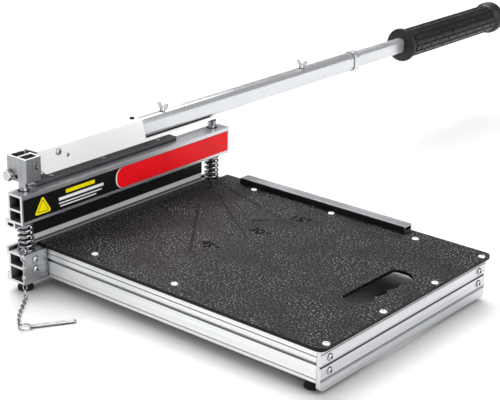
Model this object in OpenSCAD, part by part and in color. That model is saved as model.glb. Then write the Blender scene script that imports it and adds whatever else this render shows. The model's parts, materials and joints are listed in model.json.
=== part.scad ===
// Guillotine flooring cutter: a two-post blade carriage over an anvil beam,
// pressed down by a telescoping lever, in front of a flat plank bed.
// Units are millimetres. The floor is z = 0 and the blade line runs along Y.

/* [Bed] */
// length of the bed board from blade side to end rail
board_len = 440; // [380:5:500]
// width of the bed board along the blade line
board_w = 346; // [300:2:400]
// thickness of the bed board
board_t = 4.5; // [3:0.5:8]
// height of the two side rails
rail_h = 39; // [30:1:50]
// width of each side rail
rail_w = 22; // [16:1:30]
// clear height of the rails over the floor
foot_h = 14; // [8:1:20]

/* [Cutting head] */
// length of both cross beams
beam_len = 378; // [340:2:420]
// diameter of the two guide posts
post_d = 12; // [10:0.5:16]
// distance between the guide post centres
post_gap = 342; // [320:1:360]
// outside diameter of the return springs
spring_d = 21; // [18:0.5:24]
// thickness of the blade
blade_t = 3; // [2:0.5:5]

/* [Lever] */
// height of the arm extrusion
arm_h = 32.3; // [28:0.1:40]
// length of the full-height part of the arm
arm_len = 183; // [150:1:220]
// diameter of the grip
grip_d = 47; // [34:1:50]
// length of the grip
grip_len = 282; // [120:2:340]

/* [Hidden] */
$fn = 48;
cx = 193;
cy = 522;
rz0 = foot_h;
rz1 = rz0 + rail_h;
bz1 = rz1 + board_t;
px = -16;
py0 = -20;
py1 = py0 + post_gap;
by0 = -38;
by1 = by0 + beam_len;
pr = post_d / 2;
pivot = [-15, 162.8];
nose = [4, 139];
tube_x = -24;
tube_z = 157.65;
port_z = [26, 42];
port_y = [15.5, 317.5];
post_screw_z = [30.5, 43.5];
grip_y0 = 796;
grip_y1 = grip_y0 + grip_len;
spring_z0 = 54.5;
spring_z1 = 92;
ring_c = [68, -98];
pin_a = 58.4;
near_screws = [[66, 17], [197, 17]];
far_screws = [[64, 319.6], [196, 319.6], [327, 320]];
end_screws = [[419, 12], [419, 117], [419, 222], [419, 326.5]];
silver = [0.80, 0.81, 0.83];
steel = [0.62, 0.63, 0.65];
black = [0.07, 0.07, 0.08];

// ---------- helpers ----------
module place() {
  translate([-cx, -cy, 0]) children();
}
module box(a, b) {
  translate(a) cube(b - a);
}
module cylx(x0, x1, y, z, r) {
  translate([x0, y, z]) rotate([0, 90, 0]) cylinder(r = r, h = x1 - x0);
}
module cyly(y0, y1, x, z, r) {
  translate([x, y0, z]) rotate([-90, 0, 0]) cylinder(r = r, h = y1 - y0);
}
module cylz(z0, z1, x, y, r) {
  translate([x, y, z0]) cylinder(r = r, h = z1 - z0);
}
// profile given as (x, z), run along Y
module along_y(y0, y1) {
  translate([0, y1, 0]) rotate([90, 0, 0]) linear_extrude(y1 - y0) children();
}
// profile given as (y, z), run along X
module along_x(x0, x1) {
  translate([x0, 0, 0]) rotate([90, 0, 90]) linear_extrude(x1 - x0) children();
}
module rect2(a, b) {
  translate(a) square(b - a);
}
module round_rect(w, h, r) {
  square([w - 2 * r, h], center = true);
  square([w, h - 2 * r], center = true);
  for (sx = [-1, 1], sy = [-1, 1])
    translate([sx * (w / 2 - r), sy * (h / 2 - r)]) circle(r);
}
module hexagon(af) {
  circle(r = af / sqrt(3), $fn = 6);
}
module torus(R, r) {
  rotate_extrude() translate([R, 0]) circle(r, $fn = 24);
}

// ---------- swept wires ----------
function unit(v) = v / norm(v);
function tangent(p, i) = unit(p[min(i + 1, len(p) - 1)] - p[max(i - 1, 0)]);
function ring_pt(c, t, r, a, up) =
  let (s = unit(cross(t, up)), n = cross(s, t)) c + r * (cos(a) * s + sin(a) * n);
module wire(p, r, n, up) {
  pts = [for (i = [0 : len(p) - 1], k = [0 : n - 1])
    ring_pt(p[i], tangent(p, i), r, 360 * k / n, up)];
  m = len(p);
  side = [for (i = [0 : m - 2], k = [0 : n - 1])
    [i * n + k, i * n + (k + 1) % n, (i + 1) * n + (k + 1) % n, (i + 1) * n + k]];
  cap0 = [[for (k = [0 : n - 1]) n - 1 - k]];
  cap1 = [[for (k = [0 : n - 1]) (m - 1) * n + k]];
  polyhedron(points = pts, faces = concat(side, cap0, cap1), convexity = 6);
}
function coil(R, z0, z1, turns, steps) = [for (i = [0 : turns * steps])
  [R * cos(360 * i / steps), R * sin(360 * i / steps), z0 + (z1 - z0) * i / (turns * steps)]];
module spring_at(y) {
  wr = 1.3;
  translate([px, y, 0])
    wire(coil(spring_d / 2 - wr, spring_z0 + wr + 0.1, spring_z1 - wr - 0.1, 5.5, 16), wr, 8, [0, 0, 1]);
}

// ---------- screws ----------
// pan head facing +X with its shank toward -X
module screw_x(x, y, z, head_r, head_t, r, len) {
  difference() {
    union() {
      cylx(x, x + head_t, y, z, head_r);
      cylx(x - len, x + 0.01, y, z, r);
    }
    translate([x + head_t - 1.2, y, z]) rotate([90, 0, 90]) linear_extrude(3) hexagon(head_r * 0.75);
  }
}
module screw_z(x, y, z, head_r, head_t, r, len) {
  difference() {
    union() {
      cylz(z, z + head_t, x, y, head_r);
      cylz(z - len, z + 0.01, x, y, r);
    }
    translate([x, y, z + head_t - 1]) linear_extrude(3) hexagon(head_r * 0.75);
  }
}

// ---------- bed ----------
module rail_profile() {
  difference() {
    union() {
      difference() {
        rect2([0, rz0], [rail_w, rz1]);
        rect2([2, rz0 + 2], [rail_w - 2, rz1 - 2]);
      }
      rect2([0, 32.6], [rail_w, 35]);
      rect2([0, 32.6], [5, 41.4]);
      for (z = port_z) translate([port_y[0], z]) circle(4.6);
      for (z = port_z) rect2([port_y[0], z - 2], [rail_w, z + 2]);
    }
    rect2([-1, 35.2], [2.6, 38.8]);
    rect2([-1, 44.9], [0.6, 45.7]);
    rect2([-1, 18.2], [0.6, 18.9]);
    for (z = port_z) translate([port_y[0], z]) circle(2.55);
  }
}
module side_rail(holes) {
  difference() {
    along_x(0, 416) rail_profile();
    for (h = holes) cylz(rz1 - 6, rz1 + 1, h[0], h[1], 2.02);
  }
}
module side_rail_near() {
  color(silver) place() side_rail(near_screws);
}
module side_rail_far() {
  color(silver) place() translate([0, 333, 0]) mirror([0, 1, 0])
    side_rail([for (h = far_screws) [h[0], 333 - h[1]]]);
}
module end_rail() {
  color(silver) place() difference() {
    along_x(416, 422) {
      rect2([0, 10.5], [333, 52.9]);
      rect2([6, 4.5], [327, 12]);
      translate([6, 10.5]) circle(6);
      translate([327, 10.5]) circle(6);
    }
    box([420, -1, 32.7], [423, 334, 35.5]);
    for (z = [16.4, 18.4, 48.6]) box([421.4, -1, z], [423, 334, z + 0.8]);
    for (y = port_y, z = port_z) cylx(410, 430, y, z, 2.55);
    for (h = end_screws) cylz(40, 60, h[0], h[1], 2.02);
  }
}
module hand_slot() {
  for (y = [131, 157, 183, 208.5]) translate([375.3, y]) circle(18);
  rect2([359.8, 124], [375, 220]);
  for (y = [124, 220]) translate([365.8, y]) circle(6);
  rect2([365.8, 118], [375, 226]);
}
module slot2(x0, x1, y, r) {
  rect2([x0, y - r], [x1, y + r]);
  for (x = [x0, x1]) translate([x, y]) circle(r);
}
module angle_groove(x, y, a, len) {
  translate([x, y]) rotate(-a) slot2(0, len, 0, 1.5);
}
module work_board() {
  color([0.08, 0.08, 0.085]) place() difference() {
    translate([0, 0, rz1]) linear_extrude(board_t) difference() {
      translate([-15 + board_len / 2, -3 + board_w / 2]) round_rect(board_len, board_w, 10);
      rect2([-16, 308], [-4.5, 344]);
      intersection() {
        hand_slot();
        rect2([359.8, 100], [395, 240]);
      }
      for (h = concat(near_screws, far_screws, end_screws)) translate(h) circle(2.02);
      for (x = [90, 250]) translate([x, 335]) circle(1.55);
    }
    translate([0, 0, bz1 - 0.9]) linear_extrude(3) {
      angle_groove(45, 228, 51.7, 163);
      angle_groove(41, 271, 35.6, 159);
      angle_groove(40, 298, 17.3, 155);
      slot2(81, 96, 8.5, 1.3);
      slot2(215, 231, 8.5, 1.3);
      angle_groove(137, 230, -54, 20);
    }
  }
}
module edge_fence() {
  color(silver) place() difference() {
    along_x(34, 306) difference() {
      rect2([327, bz1], [343, 66]);
      rect2([329, bz1 + 2], [341, 64]);
    }
    for (x = [90, 250]) cylz(50, 61, x, 335, 1.55);
  }
}
module fence_strip() {
  color(black) place() box([34, 325.4, bz1], [306, 327, 65.4]);
}
module fence_screws() {
  color(steel) place() for (x = [90, 250]) screw_z(x, 335, bz1 + 2.05, 3, 2, 1.5, 7);
}
module board_screws() {
  color(steel) place() {
    for (h = concat(near_screws, far_screws)) screw_z(h[0], h[1], bz1, 4, 1.6, 2, 9);
    for (h = end_screws) screw_z(h[0], h[1], bz1, 4, 1.6, 2, 12);
  }
}
module end_rail_screws() {
  color(steel) place() for (y = port_y, z = port_z) screw_x(422, y, z, 4.3, 2.4, 2.5, 20);
}
module rail_screws() {
  color(steel) place() for (y = port_y, z = port_z)
    translate([-3, y, z]) mirror([1, 0, 0]) screw_x(0, 0, 0, 4.3, 2.4, 2.5, 21);
}
module feet() {
  color(black) place() for (p = [[402, 14], [402, 319], [-18, -22], [-14, 300]]) {
    cylz(0, 5, p[0], p[1], 10);
    cylz(5, rz0, p[0], p[1], 8.5);
  }
}

// ---------- anvil beam ----------
module lower_profile() {
  difference() {
    union() {
      rect2([-28, rz0], [0, rz1]);
      rect2([-32, 48], [-28, 57.5]);
      rect2([-32, rz0], [-28, 24]);
      rect2([-18.6, rz1 - 1], [-15.2, 57.5]);
    }
    rect2([-25, 17], [-3, 33.4]);
    rect2([-25, 36.8], [-3, 50]);
    rect2([-33, 50.5], [-31, 52]);
  }
}
module lower_beam() {
  color(silver) place() difference() {
    along_y(by0, by1) lower_profile();
    for (e = [[by0 - 1, -7], [309, by1 + 1]]) box([-18.8, e[0], rz1], [1, e[1], 70]);
    for (y = [py0, py1]) cylz(17, 60, px, y, pr + 0.02);
    for (z = post_screw_z) {
      cylx(-4, 1, py0, z, 2.52);
      cylx(-29, -24, py1, z, 2.52);
    }
    for (y = port_y, z = port_z) cylx(-4, 1, y, z, 2.55);
    for (z = port_z) cylx(-33, -24, port_y[0], z, 4.6);
    cylz(rz1 - 4, 60, -4, -34.5, 1.52);
  }
}
module anvil_pad() {
  color(black) place() along_y(-6.5, 308.5) difference() {
    rect2([-27.9, rz1], [-18.7, 58]);
    rect2([-30, 57.6], [-26.8, 59]);
  }
}
module post_screws() {
  color(steel) place() for (z = post_screw_z) {
    screw_x(0, py0, z, 4.4, 2.6, 2.5, 9.9);
    translate([-28, py1, z]) mirror([1, 0, 0]) screw_x(0, 0, 0, 4.4, 2.6, 2.5, 5.9);
  }
}
module guide_post_near() {
  color(steel) place() difference() {
    cylz(17, 152.9, px, py0, pr);
    cyly(-40, 5, -17, 149, 2.75);
  }
}
module guide_post_far() {
  color(steel) place() cylz(17, 139.4, px, py1, pr);
}
module post_cap() {
  color(black) place() cylz(139.4, 140.8, px, py1, pr - 0.1);
}
module spring_seats() {
  color(steel) place() for (y = [py0, py1]) difference() {
    cylz(rz1, spring_z0, px, y, 11.2);
    cylz(50, 60, px, y, pr + 0.05);
  }
}
module spring_near() {
  color(steel) place() spring_at(py0);
}
module spring_far() {
  color(steel) place() spring_at(py1);
}

// ---------- end block and lock ----------
module end_block() {
  color(silver) place() difference() {
    translate([0, 0, 143]) linear_extrude(30.5) difference() {
      translate([-16.5, -17.5]) round_rect(34, 25, 1.5);
      rect2([-30.5, -27], [-18, -8]);
      rect2([-15, -27], [-2.5, -8]);
    }
    box([-30.5, -27, 140], [-2.5, -8, 153]);
    box([-29, -9, 153.5], [-19, -4, 180]);
    cylx(-40, 5, pivot[0], pivot[1], 3.02);
    cyly(-40, 5, -17, 149, 2.75);
    cyly(-40, -20, -27.2, 149, 2.52);
  }
}
module block_plug() {
  color(steel) place() difference() {
    box([-30.45, -26.95, 143], [-2.55, -8.05, 153]);
    cylz(140, 160, px, py0, pr + 0.02);
    cyly(-40, 5, -17, 149, 2.75);
    cyly(-40, -19, -27.2, 149, 2.52);
  }
}
module pivot_pin() {
  color(steel) place() difference() {
    union() {
      cylx(-35, 0.51, pivot[0], pivot[1], 3);
      cylx(0.5, 2.3, pivot[0], pivot[1], 4.4);
    }
    box([1.5, pivot[0] - 6, pivot[1] - 0.6], [3, pivot[0] + 6, pivot[1] + 0.6]);
  }
}
module stop_bolt() {
  color(steel) place() {
    translate([-27.2, -31.5, 149]) rotate([90, 0, 0]) linear_extrude(6) hexagon(12);
    cyly(-31.6, -30, -27.2, 149, 6.6);
    cyly(-30.1, -20, -27.2, 149, 2.5);
  }
}
module chain_anchor() {
  color(steel) place() {
    cylz(rz1 - 3, 55, -4, -34.5, 1.5);
    translate([-4, -34.5, 57.6]) rotate([90, 0, 0]) torus(3.1, 0.9);
  }
}
module lock_chain() {
  route = [[-4, -38, 58], [-2, -40.6, 57], [1, -41.4, 53], [2.5, -41.4, 47], [3, -41.4, 40],
    [3, -41.4, 32], [3, -41.4, 24], [3.5, -41.4, 16], [4, -41.6, 10], [5.5, -42.6, 5],
    [8, -45, 2.8], [12, -50, 2.3], [18, -57, 2.3], [24, -64.5, 2.3], [30, -72, 2.3],
    [36, -79, 2.3], [42, -85, 2.3], [48, -90.5, 2.3], [53, -94.5, 2.3], [57, -97, 2.3]];
  color(steel) place() wire(route, 2.2, 8, [0.3, 1, 0.1]);
}
module pin_ring() {
  color(steel) place() translate([ring_c[0], ring_c[1], 2.4]) torus(8, 0.9);
}
module lock_pin() {
  color(steel) place() translate([ring_c[0], ring_c[1], 2.4]) rotate([0, 0, pin_a]) difference() {
    union() {
      cylx(5.2, 57.5, 0, 0, 2.3);
      translate([57.5, 0, 0]) sphere(2.3, $fn = 32);
    }
    cyly(-4, 4, 8, 0, 1.5);
  }
}

// ---------- blade carriage ----------
module upper_profile() {
  difference() {
    union() {
      rect2([-25, 92], [0, 129.5]);
      rect2([-30, 84.5], [-14, 92.5]);
      rect2([-32, 89], [-25, 93.5]);
    }
    rect2([-22, 95], [-3, 107.5]);
    rect2([-22, 110.5], [-3, 126.5]);
    rect2([-27, 87], [-17, 90.5]);
    rect2([-23.1, 80], [-19.4, 90.5]);
  }
}
module upper_beam() {
  color(silver) place() difference() {
    along_y(by0, by1) upper_profile();
    for (y = [py0, py1]) cylz(80, 92, px, y, 12.2);
    for (y = [py0, py1]) cylz(90, 140, px, y, 7.5);
    for (y = [40, 115, 190, 265]) cylx(-35, -10, y, 85.9, 1.02);
    for (y = [30, 120, 220]) cylz(125, 135, -22, y, 1.52);
  }
}
module blade() {
  color([0.12, 0.12, 0.13]) place() difference() {
    along_y(-4, 306)
      polygon([[-22.8, 58.4], [-22.8, 90.2], [-22.8 + blade_t, 90.2], [-22.8 + blade_t, 66], [-22.2, 58.4]]);
    for (y = [40, 115, 190, 265]) cylx(-30, -10, y, 85.9, 1.02);
  }
}
module blade_screws() {
  color(steel) place() for (y = [40, 115, 190, 265]) {
    cylx(-30, -13.95, y, 85.9, 1);
    cylx(-14, -12.6, y, 85.9, 2.2);
  }
}
module guide_bushes() {
  color([0.75, 0.6, 0.3]) place() for (y = [py0, py1]) difference() {
    cylz(92, 129.5, px, y, 7.48);
    cylz(80, 140, px, y, pr + 0.06);
  }
}
module press_bar() {
  color(silver) place() difference() {
    box([-34, -3, 129.5], [-14, 248, 134.5]);
    for (y = [30, 120, 220]) cylz(125, 136, -22, y, 1.52);
    for (y = [30, 120, 220]) cylz(133.1, 136, -22, y, 3.2);
  }
}
module press_bar_screws() {
  color(steel) place() for (y = [30, 120, 220]) {
    cylz(133.1, 134.4, -22, y, 3);
    cylz(127, 133.2, -22, y, 1.5);
  }
}
module label_black() {
  color([0.06, 0.06, 0.07]) place() box([0, -35.5, 96], [0.5, 107.9, 124]);
}
module label_red() {
  color([0.80, 0.10, 0.12]) place() box([0, 108, 96], [0.5, 337.5, 124]);
}

// ---------- lever ----------
module lever_arm() {
  az0 = 141.5;
  az1 = az0 + arm_h;
  color(silver) place() difference() {
    along_y(0, 324) difference() {
      rect2([-36, az0], [-12, az1]);
      rect2([-34, az0 + 2], [-14, az1 - 2]);
    }
    along_x(-40, -10) polygon([[-1, 153], [-1, 140], [16, 140], [14, 141.5], [0, 152]]);
    along_x(-40, -10) polygon([[arm_len - 3, 180], [arm_len + 5, 146], [330, 146], [330, 180]]);
    for (p = [[34, 166], [50, 158]]) cylx(-40, -10, p[0], p[1], 2.52);
    cylz(170, 180, -24, 174, 2.02);
  }
}
module cam_plate() {
  color(steel) place() difference() {
    along_x(-28, -20) {
      translate(pivot) circle(7.8);
      polygon([[-15, 155.4], [-2, 155.4], [1.2, 138.6], [6.8, 138.6], [11, 155.4], [58, 155.4],
        [58, 170.2], [-15, 170.2]]);
      translate(nose) circle(3.2);
    }
    cylx(-30, -18, pivot[0], pivot[1], 3.06);
    cylx(-30, -18, nose[0], nose[1], 1.52);
    for (p = [[34, 166], [50, 158]]) cylx(-30, -18, p[0], p[1], 2.52);
  }
}
module arm_bolts() {
  color(steel) place() for (p = [[34, 166], [50, 158]]) {
    if (p[0] < 40) screw_x(-12, p[0], p[1], 4.4, 2.6, 2.5, 24);
    if (p[0] > 40) translate([-36, 0, 0]) mirror([1, 0, 0]) screw_x(0, p[0], p[1], 4.4, 3, 2.5, 23);
  }
}
module roller_axle() {
  color(steel) place() cylx(-34.5, -13.5, nose[0], nose[1], 1.5);
}
module rollers() {
  color([0.85, 0.85, 0.86]) place() for (x = [-34, -19.7]) difference() {
    cylx(x, x + 5.7, nose[0], nose[1], 4);
    cylx(x - 1, x + 7, nose[0], nose[1], 1.56);
  }
}
module arm_set_screw() {
  color([0.2, 0.2, 0.2]) place() screw_z(-24, 174, 173.8, 3, 1.8, 2, 2.1);
}
module tube_shell(w, h, r, t) {
  difference() {
    round_rect(w, h, r);
    round_rect(w - 2 * t, h - 2 * t, r - t);
  }
}
module outer_tube() {
  color(silver) place() difference() {
    along_y(62, 655) translate([tube_x, tube_z]) tube_shell(19.6, 27.9, 8, 1.6);
    for (y = [232, 533]) cylz(160, 180, tube_x, y, 2.06);
  }
}
module tube_collar() {
  color(silver) place() along_y(655, 667) translate([tube_x, tube_z]) difference() {
    round_rect(22.4, 30.7, 9.4);
    round_rect(16.4, 24.7, 6.4);
  }
}
module inner_tube() {
  color(silver) place() along_y(430, 1062) translate([tube_x, tube_z]) tube_shell(15.8, 24.1, 6.1, 1.6);
}
module grip() {
  r = grip_d / 2;
  color(black) place() difference() {
    union() {
      cyly(grip_y0, grip_y0 + 9, tube_x, tube_z, r + 3.5);
      cyly(grip_y0, grip_y1, tube_x, tube_z, r);
      cyly(grip_y1 - 11, grip_y1, tube_x, tube_z, r + 3.5);
    }
    along_y(grip_y0 - 1, 1063) translate([tube_x, tube_z]) round_rect(15.9, 24.2, 6.1);
    cyly(1060, grip_y1 + 1, tube_x, tube_z, 9);
  }
}
module grip_cap() {
  color([0.12, 0.12, 0.12]) place() difference() {
    union() {
      cyly(1066, grip_y1 + 0.1, tube_x, tube_z, 8.98);
      cyly(grip_y1, 1082, tube_x, tube_z, 26.4);
    }
    cyly(1072, 1090, tube_x, tube_z, 4);
  }
}
module wing_screw(y, z_tip) {
  cylz(z_tip, 171.8, tube_x, y, 2);
  cylz(171.7, 177.5, tube_x, y, 4.2);
  for (s = [-1, 1]) {
    cyly(y - 1.1, y + 1.1, tube_x + s * 5.6, 179.2, 4);
    box([tube_x - 5, y - 1.1, 174.5], [tube_x + 5, y + 1.1, 178]);
  }
}
module wing_screw_rear() {
  color(steel) place() wing_screw(232, 167);
}
module wing_screw_front() {
  color(steel) place() wing_screw(533, 169.85);
}

lower_beam();
anvil_pad();
side_rail_near();
side_rail_far();
end_rail();
work_board();
edge_fence();
fence_strip();
board_screws();
end_rail_screws();
rail_screws();
fence_screws();
post_screws();
feet();
guide_post_near();
guide_post_far();
post_cap();
spring_seats();
spring_near();
spring_far();
end_block();
block_plug();
pivot_pin();
stop_bolt();
chain_anchor();
lock_chain();
pin_ring();
lock_pin();
upper_beam();
blade();
blade_screws();
guide_bushes();
press_bar();
press_bar_screws();
label_black();
label_red();
lever_arm();
cam_plate();
arm_bolts();
roller_axle();
rollers();
arm_set_screw();
outer_tube();
tube_collar();
inner_tube();
grip();
grip_cap();
wing_screw_rear();
wing_screw_front();
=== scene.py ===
"""Looks of a bench guillotine for flooring planks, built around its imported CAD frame."""

import json
import logging
import math
from dataclasses import dataclass
from enum import Enum
from typing import Callable, Iterable, Sequence

import bmesh
import bpy
from mathutils import Matrix, Vector

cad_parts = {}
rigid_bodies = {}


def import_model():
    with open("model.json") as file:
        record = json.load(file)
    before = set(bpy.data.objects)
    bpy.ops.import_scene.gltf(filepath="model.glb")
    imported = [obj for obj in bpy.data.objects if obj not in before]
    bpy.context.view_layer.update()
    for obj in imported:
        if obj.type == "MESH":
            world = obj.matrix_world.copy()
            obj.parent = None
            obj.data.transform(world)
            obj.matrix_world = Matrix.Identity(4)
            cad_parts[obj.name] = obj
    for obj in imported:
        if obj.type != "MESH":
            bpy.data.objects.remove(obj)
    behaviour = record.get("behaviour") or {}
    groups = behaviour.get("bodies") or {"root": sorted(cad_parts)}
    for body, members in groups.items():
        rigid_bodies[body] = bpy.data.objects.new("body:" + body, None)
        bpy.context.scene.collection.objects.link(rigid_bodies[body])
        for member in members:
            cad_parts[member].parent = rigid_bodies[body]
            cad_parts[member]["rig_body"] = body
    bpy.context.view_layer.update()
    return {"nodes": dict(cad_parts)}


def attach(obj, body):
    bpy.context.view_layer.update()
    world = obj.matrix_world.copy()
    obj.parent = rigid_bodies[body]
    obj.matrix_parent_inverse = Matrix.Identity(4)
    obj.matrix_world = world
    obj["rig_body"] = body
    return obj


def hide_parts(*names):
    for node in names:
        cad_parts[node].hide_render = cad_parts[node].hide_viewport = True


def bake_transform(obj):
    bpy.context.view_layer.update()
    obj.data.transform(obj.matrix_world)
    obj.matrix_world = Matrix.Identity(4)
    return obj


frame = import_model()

log = logging.getLogger("flooring_cutter")
MM = 0.001
# the CAD source's own zero: left face of the bed, near rail's outer face, floor
ORIGIN_X, ORIGIN_Y = 193.0, 522.0
Point = tuple[float, float, float]
Point2 = tuple[float, float]


class Axis(Enum):
    """A row axis, as a unit vector."""

    X = (1.0, 0.0, 0.0)
    Y = (0.0, 1.0, 0.0)
    Z = (0.0, 0.0, 1.0)


class HeadTowards(Enum):
    """The way a screw's head faces."""

    PLUS_X = (1.0, 0.0, 0.0)
    MINUS_X = (-1.0, 0.0, 0.0)
    UP = (0.0, 0.0, 1.0)
    MINUS_Y = (0.0, -1.0, 0.0)


def row(point: Sequence[float]) -> Vector:
    """Turns a point of the CAD source, in mm, into the row frame in metres.

    Args:
        point: x, y and z in the CAD source's own coordinates, in mm.

    Returns:
        The same point in the row frame.
    """
    return Vector(((point[0] - ORIGIN_X) * MM, (point[1] - ORIGIN_Y) * MM, point[2] * MM))


def linear(hex_colour: str) -> tuple[float, float, float, float]:
    """Turns an sRGB hex colour into linear light.

    Args:
        hex_colour: six hex digits with a leading hash.

    Returns:
        Red, green, blue and an alpha of 1.
    """
    parts = [int(hex_colour[i : i + 2], 16) / 255 for i in (1, 3, 5)]
    parts = [c / 12.92 if c <= 0.04045 else ((c + 0.055) / 1.055) ** 2.4 for c in parts]
    return (parts[0], parts[1], parts[2], 1.0)


def add_node(
    tree: bpy.types.NodeTree,
    kind: str,
    settings: dict[str, object] | None = None,
    inputs: dict[str | int, object] | None = None,
) -> bpy.types.Node:
    """Adds a node, sets its properties and fills or links its sockets.

    Args:
        tree: the node tree that takes the node.
        kind: the node's Blender type name.
        settings: properties of the node.
        inputs: socket name or number to a value, or to an output socket to link.

    Returns:
        The new node.
    """
    node = tree.nodes.new(kind)
    for name, value in (settings or {}).items():
        setattr(node, name, value)
    for name, value in (inputs or {}).items():
        if isinstance(value, bpy.types.NodeSocket):
            tree.links.new(value, node.inputs[name])
        else:
            node.inputs[name].default_value = value
    return node


# ---------------------------------------------------------------- finishes


def grain(
    tree: bpy.types.NodeTree,
    where: bpy.types.NodeSocket,
    size_mm: float,
    low: float = 0.0,
    high: float = 1.0,
    start: float = 0.3,
    end: float = 0.7,
    stretch: Sequence[float] = (1.0, 1.0, 1.0),
    detail: float = 3.0,
) -> bpy.types.NodeSocket:
    """Adds irregular grain of a real size, spread between two values.

    Args:
        tree: the material's tree.
        where: the coordinates, in metres.
        size_mm: the size of one feature, in mm.
        low: the value in the grain's pits.
        high: the value on its peaks.
        start: the raw grain, from 0 to 1, that gives low.
        end: the raw grain that gives high.
        stretch: how many times longer a feature is along each axis.
        detail: octaves of finer grain.

    Returns:
        The spread grain.
    """
    scale = [1.0 / s for s in stretch]
    mapped = add_node(
        tree, "ShaderNodeMapping", inputs={"Vector": where, "Scale": scale}
    ).outputs[0]
    raw = add_node(
        tree,
        "ShaderNodeTexNoise",
        inputs={"Vector": mapped, "Scale": 1.0 / (size_mm * MM), "Detail": detail},
    ).outputs["Fac"]
    return add_node(
        tree,
        "ShaderNodeMapRange",
        inputs={"Value": raw, "From Min": start, "From Max": end, "To Min": low, "To Max": high},
    ).outputs["Result"]


def painted_occlusion_shade(
    tree: bpy.types.NodeTree,
    colour: bpy.types.NodeSocket,
    reach_mm: float,
    deep: float,
    unshaded_from: float = 0.85,
) -> bpy.types.NodeSocket:
    """Paints shade into a colour in corners, bores and near other surfaces, where less light
    reaches.

    Args:
        tree: the material's tree.
        colour: the colour without the painted shade.
        reach_mm: how near another surface must be.
        deep: the share of the colour that is left in the deepest corner.
        unshaded_from: the share of open sky from which no shade is painted.

    Returns:
        The colour with painted shade in its corners.
    """
    # painted shade: the ambient occlusion darkens the colour where other surfaces are close
    open_sky = add_node(
        tree, "ShaderNodeAmbientOcclusion", {"samples": 6}, {"Distance": reach_mm * MM}
    ).outputs["AO"]
    share = add_node(
        tree,
        "ShaderNodeMapRange",
        inputs={
            "Value": open_sky,
            "From Min": unshaded_from - 0.6,
            "From Max": unshaded_from,
            "To Min": deep,
        },
    ).outputs["Result"]
    return add_node(
        tree, "ShaderNodeVectorMath", {"operation": "SCALE"}, {0: colour, "Scale": share}
    ).outputs[0]


@dataclass(frozen=True)
class Finish:
    """A surface finish: what the stuff is and how its surface was made."""

    name: str
    colour: str
    metallic: float = 0.0
    roughness: float = 0.5
    ior: float = 1.5
    shine: float = 0.5

    def material(self) -> bpy.types.Material:
        """Makes the finish's material on first use.

        Returns:
            The material.
        """
        found = bpy.data.materials.get(self.name)
        if found is not None:
            return found
        made = bpy.data.materials.new(self.name)
        made.use_nodes = True
        tree = made.node_tree
        tree.nodes.clear()
        shader = add_node(
            tree,
            "ShaderNodeBsdfPrincipled",
            inputs={
                "Base Color": linear(self.colour),
                "Metallic": self.metallic,
                "Roughness": self.roughness,
                "IOR": self.ior,
                "Specular IOR Level": self.shine,
            },
        )
        add_node(tree, "ShaderNodeOutputMaterial", inputs={"Surface": shader.outputs[0]})
        where = add_node(tree, "ShaderNodeTexCoord").outputs["Object"]
        for socket, value in self.pattern(tree, where).items():
            tree.links.new(value, shader.inputs[socket])
        return made

    def pattern(
        self, tree: bpy.types.NodeTree, where: bpy.types.NodeSocket
    ) -> dict[str, bpy.types.NodeSocket]:
        """Adds what varies over the surface; a plain finish has nothing.

        Args:
            tree: the material's tree.
            where: the coordinates, in metres.

        Returns:
            What to link, by the shader's socket names.
        """
        return {}


@dataclass(frozen=True)
class ExtrudedAluminium(Finish):
    """Extruded aluminium, etched and clear anodised: long faint die lines in a satin skin."""

    along: Axis = Axis.Y
    line_mm: float = 2.4
    line_depth_mm: float = 0.003
    # die lines run on, so they are drawn this many times longer than wide
    line_stretch: float = 90.0
    cloud_mm: float = 34.0
    dark: str = "#D6D8DB"
    # the end faces' own tone: a saw-cut finish, and also painted light and shade on those faces
    end_tone_and_shade: str = "#B9BBBE"
    # painted shade in corners and bores: its reach and the share of colour left in the deepest
    # corner
    corner_mm: float = 11.0
    corner_dark: float = 0.10

    def pattern(
        self, tree: bpy.types.NodeTree, where: bpy.types.NodeSocket
    ) -> dict[str, bpy.types.NodeSocket]:
        """Adds die lines along the extrusion, saw-cut ends in their own tone, which is also painted
        light and shade, and painted shade in the corners.

        Args:
            tree: the material's tree.
            where: the coordinates, in metres.

        Returns:
            What to link, by the shader's socket names.
        """
        way = [1.0 + self.line_stretch * c for c in self.along.value]
        rough = self.roughness
        lines = grain(tree, where, self.line_mm, stretch=way, detail=2.0)
        skin = add_node(
            tree,
            "ShaderNodeMix",
            {"data_type": "RGBA"},
            {0: lines, 6: linear(self.dark), 7: linear(self.colour)},
        ).outputs[2]
        # faces that look along the extrusion take the end tone: a saw-cut finish that also paints
        # light and shade
        facing = add_node(
            tree,
            "ShaderNodeVectorMath",
            {"operation": "DOT_PRODUCT"},
            {0: add_node(tree, "ShaderNodeNewGeometry").outputs["Normal"], 1: self.along.value},
        ).outputs["Value"]
        either_end = add_node(tree, "ShaderNodeMath", {"operation": "ABSOLUTE"}, {0: facing})
        end_facing_mask = add_node(
            tree,
            "ShaderNodeMapRange",
            inputs={"Value": either_end.outputs[0], "From Min": 0.75, "From Max": 0.95},
        ).outputs["Result"]
        unshaded_colour = add_node(
            tree,
            "ShaderNodeMix",
            {"data_type": "RGBA"},
            {0: end_facing_mask, 6: skin, 7: linear(self.end_tone_and_shade)},
        ).outputs[2]
        height = grain(tree, where, self.line_mm, 0.0, 1.0, 0.0, 1.0, way, 2.0)
        raised = add_node(
            tree, "ShaderNodeBump", inputs={"Height": height, "Distance": self.line_depth_mm * MM}
        )
        return {
            # the colour carries painted shade in corners and bores
            "Base Color": painted_occlusion_shade(tree, unshaded_colour, self.corner_mm, self.corner_dark),
            "Roughness": grain(
                tree, where, self.cloud_mm, rough - 0.04, rough + 0.05, detail=2.0
            ),
            "Normal": raised.outputs["Normal"],
        }


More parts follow.
